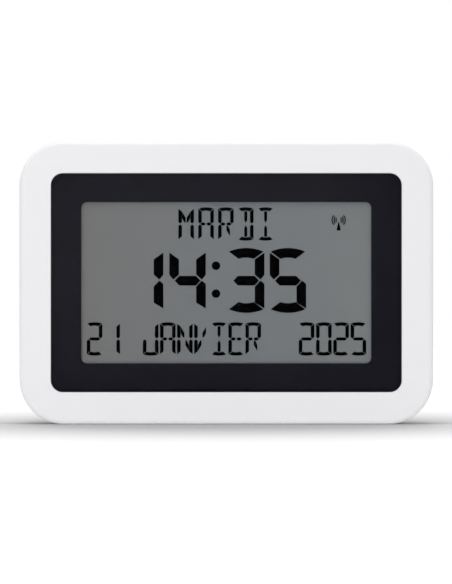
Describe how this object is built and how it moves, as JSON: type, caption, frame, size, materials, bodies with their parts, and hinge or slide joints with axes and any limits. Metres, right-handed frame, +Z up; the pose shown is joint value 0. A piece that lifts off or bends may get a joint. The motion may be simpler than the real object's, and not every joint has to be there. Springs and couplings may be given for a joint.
{
  "type": "day clock",
  "caption": "Large-digit LCD day and date clock in a rounded case, with a fold-out stand, wall keyhole, hinged battery door and rear push buttons.",
  "frame": {"origin": "middle of the case's footprint, on the flat base", "axes": "+X to the right seen from the front, front faces -Y, +Z up"},
  "size_m": [0.23, 0.029, 0.1573],
  "materials": {
    "case_white": "satin moulded ABS",
    "lens_clear": "clear acrylic",
    "print_black": "screen print behind the lens",
    "tape_black": "double-sided foam tape",
    "polariser": "polarising film with reflector",
    "lcd_glass": "soda-lime glass",
    "lcd_seal": "epoxy perimeter seal",
    "lcd_segment": "switched-on liquid crystal",
    "holder_natural": "natural ABS",
    "zebra": "layered silicone connector",
    "board_green": "glass-epoxy board",
    "epoxy_black": "chip-on-board epoxy",
    "parts_dark": "component bodies",
    "nickel": "nickel-plated spring steel",
    "screw_steel": "zinc-plated steel",
    "can_metal": "crystal can",
    "board_blue": "radio board",
    "foam_white": "foam pad",
    "ferrite": "sintered ferrite",
    "copper": "enamelled copper winding",
    "switch_dark": "switch body",
    "cell_wrap": "wrapped dry cell",
    "wire_red": "PVC insulation",
    "wire_black": "PVC insulation",
    "button_grey": "moulded ABS key"
  },
  "bodies": {
    "case": {"front_housing": "case_white", "rear_cover": "case_white", "screen_lens": "lens_clear", "lens_border_print": "print_black", "lens_tape": "tape_black", "lcd_front_polariser": "polariser", "lcd_front_glass": "lcd_glass", "lcd_seal": "lcd_seal", "lcd_weekday_segments": "lcd_segment", "lcd_time_segments": "lcd_segment", "lcd_date_segments": "lcd_segment", "lcd_signal_icon": "lcd_segment", "lcd_rear_glass": "lcd_glass", "lcd_rear_polariser": "polariser", "lcd_holder": "holder_natural", "zebra_strip": "zebra", "main_board": "board_green", "controller_blob": "epoxy_black", "clock_crystal": "can_metal", "board_components": "parts_dark", "radio_module": "board_blue", "module_pad": "foam_white", "antenna_rod": "ferrite", "antenna_coil": "copper", "antenna_holders": "holder_natural", "radio_leads": "copper", "tact_switches": "switch_dark", "battery_contact_springs": "nickel", "battery_contact_plates": "nickel", "battery_1": "cell_wrap", "battery_2": "cell_wrap", "lead_red": "wire_red", "lead_black": "wire_black", "case_screws": "screw_steel", "holder_screws": "screw_steel", "board_screws": "screw_steel"},
    "stand": {"stand": "case_white"},
    "battery_door": {"battery_door": "case_white"},
    "key_set": {"button_set": "button_grey", "plunger_set": "switch_dark"},
    "key_up": {"button_up": "button_grey", "plunger_up": "switch_dark"},
    "key_down": {"button_down": "button_grey", "plunger_down": "switch_dark"},
    "key_language": {"button_language": "button_grey", "plunger_language": "switch_dark"},
    "key_format": {"button_format": "button_grey", "plunger_format": "switch_dark"},
    "key_sync": {"button_sync": "button_grey", "plunger_sync": "switch_dark"}
  },
  "joints": [
    {"name": "stand_hinge", "type": "hinge", "parent": "case", "child": "stand", "pos_m": [0, 0.0117, 0.088], "axis": [1, 0, 0], "range_deg": [0, 28]},
    {"name": "battery_door_hinge", "type": "hinge", "parent": "case", "child": "battery_door", "pos_m": [0, 0.0126, 0.0992], "axis": [-1, 0, 0], "range_deg": [0, 75]},
    {"name": "key_set_press", "type": "slide", "parent": "case", "child": "key_set", "axis": [0, -1, 0], "range_m": [0, 0.0005], "stiffness_N_per_m": 1500, "springref_m": -0.0005},
    {"name": "key_up_press", "type": "slide", "parent": "case", "child": "key_up", "axis": [0, -1, 0], "range_m": [0, 0.0005], "stiffness_N_per_m": 1500, "springref_m": -0.0005},
    {"name": "key_down_press", "type": "slide", "parent": "case", "child": "key_down", "axis": [0, -1, 0], "range_m": [0, 0.0005], "stiffness_N_per_m": 1500, "springref_m": -0.0005},
    {"name": "key_language_press", "type": "slide", "parent": "case", "child": "key_language", "axis": [0, -1, 0], "range_m": [0, 0.0005], "stiffness_N_per_m": 1500, "springref_m": -0.0005},
    {"name": "key_format_press", "type": "slide", "parent": "case", "child": "key_format", "axis": [0, -1, 0], "range_m": [0, 0.0005], "stiffness_N_per_m": 1500, "springref_m": -0.0005},
    {"name": "key_sync_press", "type": "slide", "parent": "case", "child": "key_sync", "axis": [0, -1, 0], "range_m": [0, 0.0005], "stiffness_N_per_m": 1500, "springref_m": -0.0005}
  ]
}
